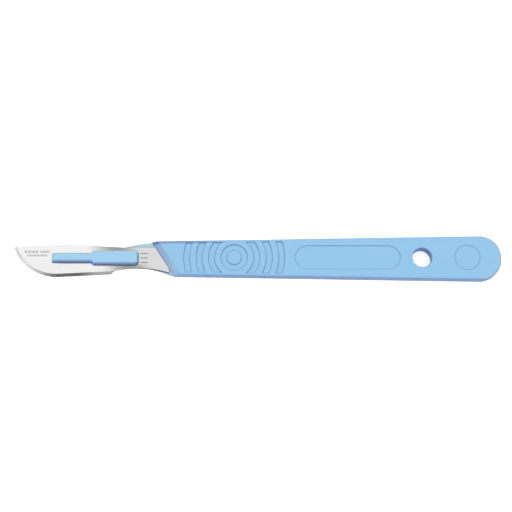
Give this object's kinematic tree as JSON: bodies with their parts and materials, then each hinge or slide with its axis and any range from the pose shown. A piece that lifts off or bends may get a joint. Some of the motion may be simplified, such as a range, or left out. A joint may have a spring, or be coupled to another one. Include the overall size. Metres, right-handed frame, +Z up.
{
  "type": "disposable scalpel",
  "caption": "Disposable scalpel: flat moulded handle with ring grip and hang hole, and a fixed steel blade with a curved cutting edge.",
  "frame": {"origin": "on the supporting surface, under the middle of the overall length and width, on the handle's centreline", "axes": "+X towards the butt, -X towards the blade's tip, -Y the way the cutting edge faces, +Z up through the front face"},
  "size_m": [0.156, 0.0144, 0.0045],
  "materials": {
    "handle_plastic": "satin moulded light blue plastic",
    "blade_steel": "bright finely ground steel"
  },
  "bodies": {
    "root": {"handle": "handle_plastic", "blade": "blade_steel"}
  },
  "joints": []
}
